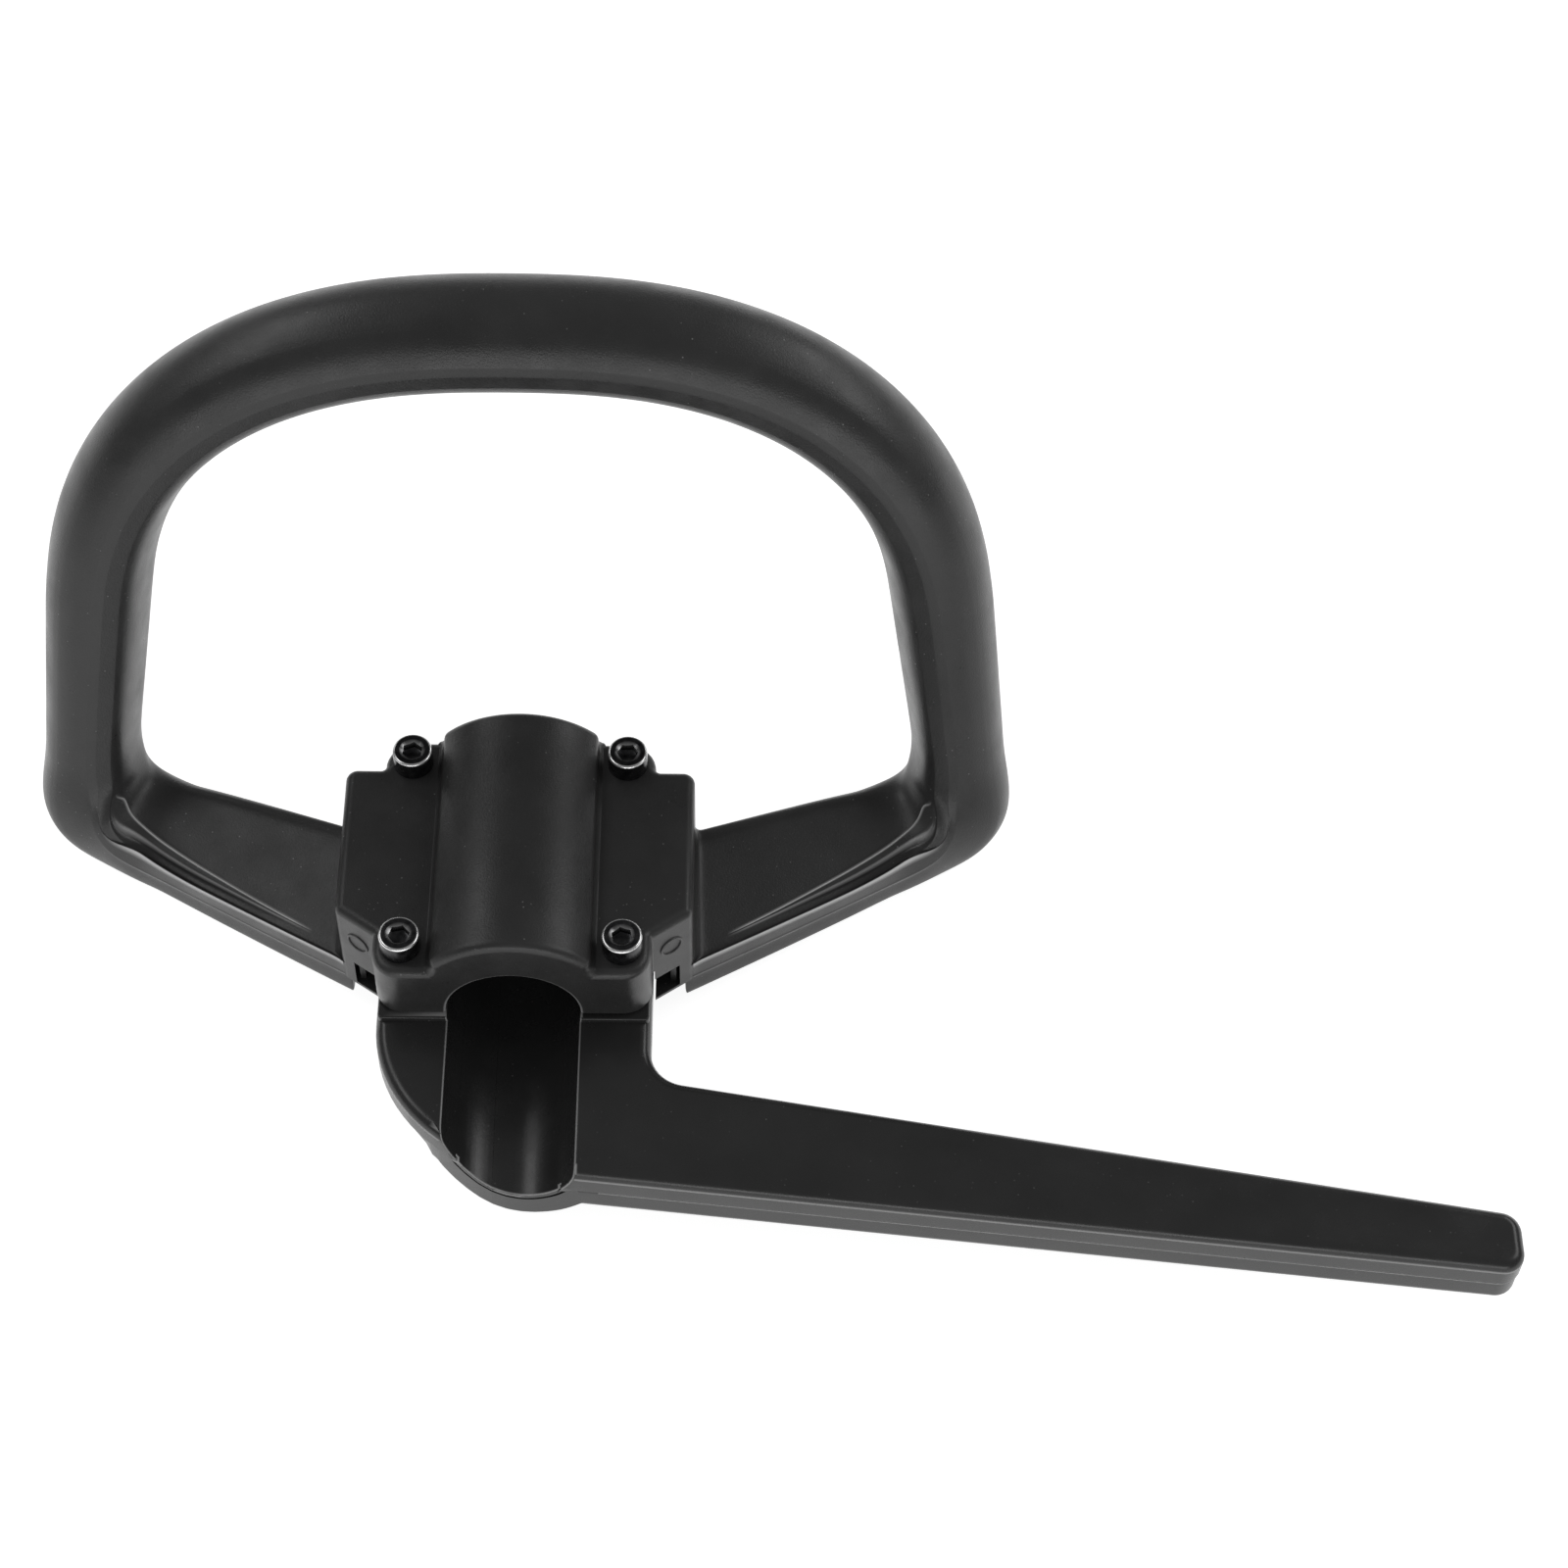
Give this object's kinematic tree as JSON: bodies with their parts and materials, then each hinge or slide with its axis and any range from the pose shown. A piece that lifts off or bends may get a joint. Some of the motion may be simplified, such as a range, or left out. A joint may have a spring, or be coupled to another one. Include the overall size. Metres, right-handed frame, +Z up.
{
  "type": "brush cutter handle",
  "caption": "Closed loop handle on a tube clamp saddle with a tapering barrier bar to one side, clamped round a brush cutter shaft by socket-head screws.",
  "frame": {"origin": "on the axis of the clamped shaft tube, midway along the saddle and between its screws", "axes": "+Y along the shaft tube away from the barrier bar's side of the saddle, +X out along the barrier bar, +Z up out of the screw heads and towards the top of the loop"},
  "size_m": [0.314, 0.1696, 0.1347],
  "materials": {
    "handle_plastic": "satin, finely grained on the grip",
    "bar_plastic": "semi-gloss moulded",
    "black_oxide_steel": "black oxide, lightly oiled",
    "zinc_steel": "zinc plated"
  },
  "bodies": {
    "root": {"loop_handle": "handle_plastic", "barrier_bar": "bar_plastic", "screw_front_left": "black_oxide_steel", "screw_front_right": "black_oxide_steel", "screw_back_left": "black_oxide_steel", "screw_back_right": "black_oxide_steel", "nut_front_left": "zinc_steel", "nut_front_right": "zinc_steel", "nut_back_left": "zinc_steel", "nut_back_right": "zinc_steel"}
  },
  "joints": []
}
